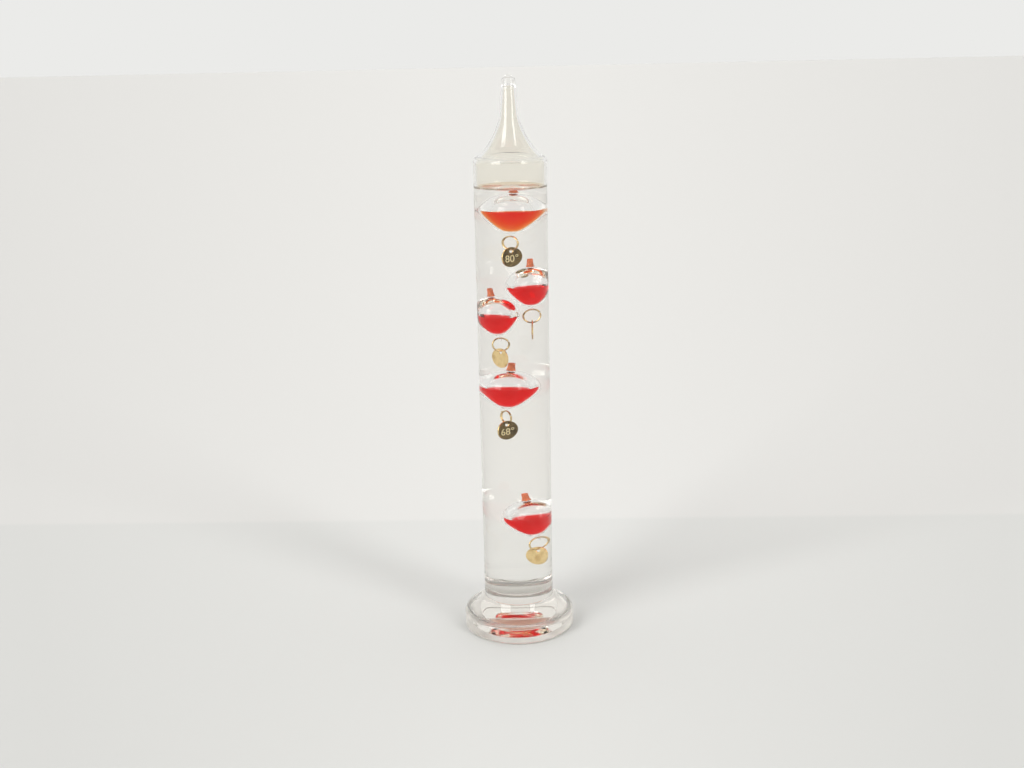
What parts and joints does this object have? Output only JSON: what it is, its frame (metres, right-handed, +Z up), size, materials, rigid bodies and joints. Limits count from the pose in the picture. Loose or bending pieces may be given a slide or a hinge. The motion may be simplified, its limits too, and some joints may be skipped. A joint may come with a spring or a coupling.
{
  "type": "galileo thermometer",
  "caption": "Sealed glass tube of clear liquid on a round glass foot, with red-filled glass floats that rise and sink with temperature and carry brass number tags.",
  "frame": {"origin": "centre of the foot's underside", "axes": "+Z up along the tube; the picture was taken from -Y"},
  "size_m": [0.0566, 0.0566, 0.28],
  "materials": {
    "tube_glass": "clear drawn glass, fire polished",
    "foot_glass": "clear pressed glass, polished",
    "float_glass": "clear blown glass",
    "working_liquid": "clear liquid",
    "dye": "clear red liquid",
    "seal_resin": "glossy orange-red resin",
    "ring_brass": "bright drawn wire",
    "tag_brass": "stamped, lightly tarnished"
  },
  "bodies": {
    "root": {"glass_foot": "foot_glass", "glass_tube": "tube_glass", "working_liquid": "working_liquid"},
    "float_1": {"float_1_bulb": "float_glass", "float_1_seal": "seal_resin", "float_1_dye": "dye"},
    "float_1_ring": {"float_1_ring": "ring_brass"},
    "float_1_tag": {"float_1_tag": "tag_brass"},
    "float_2": {"float_2_bulb": "float_glass", "float_2_seal": "seal_resin", "float_2_dye": "dye"},
    "float_2_ring": {"float_2_ring": "ring_brass"},
    "float_2_tag": {"float_2_tag": "tag_brass"},
    "float_3": {"float_3_bulb": "float_glass", "float_3_seal": "seal_resin", "float_3_dye": "dye"},
    "float_3_ring": {"float_3_ring": "ring_brass"},
    "float_3_tag": {"float_3_tag": "tag_brass"},
    "float_4": {"float_4_bulb": "float_glass", "float_4_seal": "seal_resin", "float_4_dye": "dye"},
    "float_4_ring": {"float_4_ring": "ring_brass"},
    "float_4_tag": {"float_4_tag": "tag_brass"},
    "float_5": {"float_5_bulb": "float_glass", "float_5_seal": "seal_resin", "float_5_dye": "dye"},
    "float_5_ring": {"float_5_ring": "ring_brass"},
    "float_5_tag": {"float_5_tag": "tag_brass"}
  },
  "joints": [
    {"name": "float_1_rise", "type": "slide", "parent": "root", "child": "float_1", "axis": [0, 0, 1], "range_m": [-0.003, 0.001], "stiffness_N_per_m": 6, "springref_m": 0.00559, "deforming": ["working_liquid"]},
    {"name": "float_1_ring_swing", "type": "hinge", "parent": "float_1", "child": "float_1_ring", "pos_m": [-0.00027, 0.00678, 0.20249], "axis": [0.7193, 0.6947, 0], "range_deg": [-8, 25]},
    {"name": "float_1_tag_swing", "type": "hinge", "parent": "float_1_ring", "child": "float_1_tag", "pos_m": [-0.00027, 0.00678, 0.19697], "axis": [0.6947, -0.7193, 0], "range_deg": [-35, 35]},
    {"name": "float_2_rise", "type": "slide", "parent": "root", "child": "float_2", "axis": [0, 0, 1], "range_m": [0, 0.003], "stiffness_N_per_m": 6, "springref_m": 0.00521},
    {"name": "float_2_ring_swing", "type": "hinge", "parent": "float_2", "child": "float_2_ring", "pos_m": [0.00691, -0.0009, 0.16713], "axis": [-0.1736, 0.9848, 0], "range_deg": [-25, 4]},
    {"name": "float_2_tag_swing", "type": "hinge", "parent": "float_2_ring", "child": "float_2_tag", "pos_m": [0.00691, -0.0009, 0.16161], "axis": [0.9848, 0.1736, 0], "range_deg": [-35, 35]},
    {"name": "float_3_rise", "type": "slide", "parent": "root", "child": "float_3", "axis": [0, 0, 1], "range_m": [-0.004, 0], "stiffness_N_per_m": 6, "springref_m": 0.00508},
    {"name": "float_3_ring_swing", "type": "hinge", "parent": "float_3", "child": "float_3_ring", "pos_m": [-0.00481, -0.00159, 0.1533], "axis": [-0.2079, 0.9781, 0], "range_deg": [-12, 20]},
    {"name": "float_3_tag_swing", "type": "hinge", "parent": "float_3_ring", "child": "float_3_tag", "pos_m": [-0.00481, -0.00159, 0.14778], "axis": [0.9781, 0.2079, 0], "range_deg": [-35, 30]},
    {"name": "float_4_rise", "type": "slide", "parent": "root", "child": "float_4", "axis": [0, 0, 1], "range_m": [-0.012, 0.002], "stiffness_N_per_m": 6, "springref_m": 0.00548},
    {"name": "float_4_ring_swing", "type": "hinge", "parent": "float_4", "child": "float_4_ring", "pos_m": [-0.00264, 0.00656, 0.11437], "axis": [0.9205, 0.3907, 0], "range_deg": [-25, 20]},
    {"name": "float_4_tag_swing", "type": "hinge", "parent": "float_4_ring", "child": "float_4_tag", "pos_m": [-0.00264, 0.00656, 0.10885], "axis": [0.3907, -0.9205, 0], "range_deg": [-40, 40]},
    {"name": "float_5_rise", "type": "slide", "parent": "root", "child": "float_5", "axis": [0, 0, 1], "range_m": [-0.006, 0.012], "stiffness_N_per_m": 6, "springref_m": 0.00543},
    {"name": "float_5_ring_swing", "type": "hinge", "parent": "float_5", "child": "float_5_ring", "pos_m": [0.00648, 0.00504, 0.04596], "axis": [-0.6157, 0.788, 0], "range_deg": [-20, 25]},
    {"name": "float_5_tag_swing", "type": "hinge", "parent": "float_5_ring", "child": "float_5_tag", "pos_m": [0.00648, 0.00504, 0.04044], "axis": [0.788, 0.6157, 0], "range_deg": [-40, 40]}
  ]
}
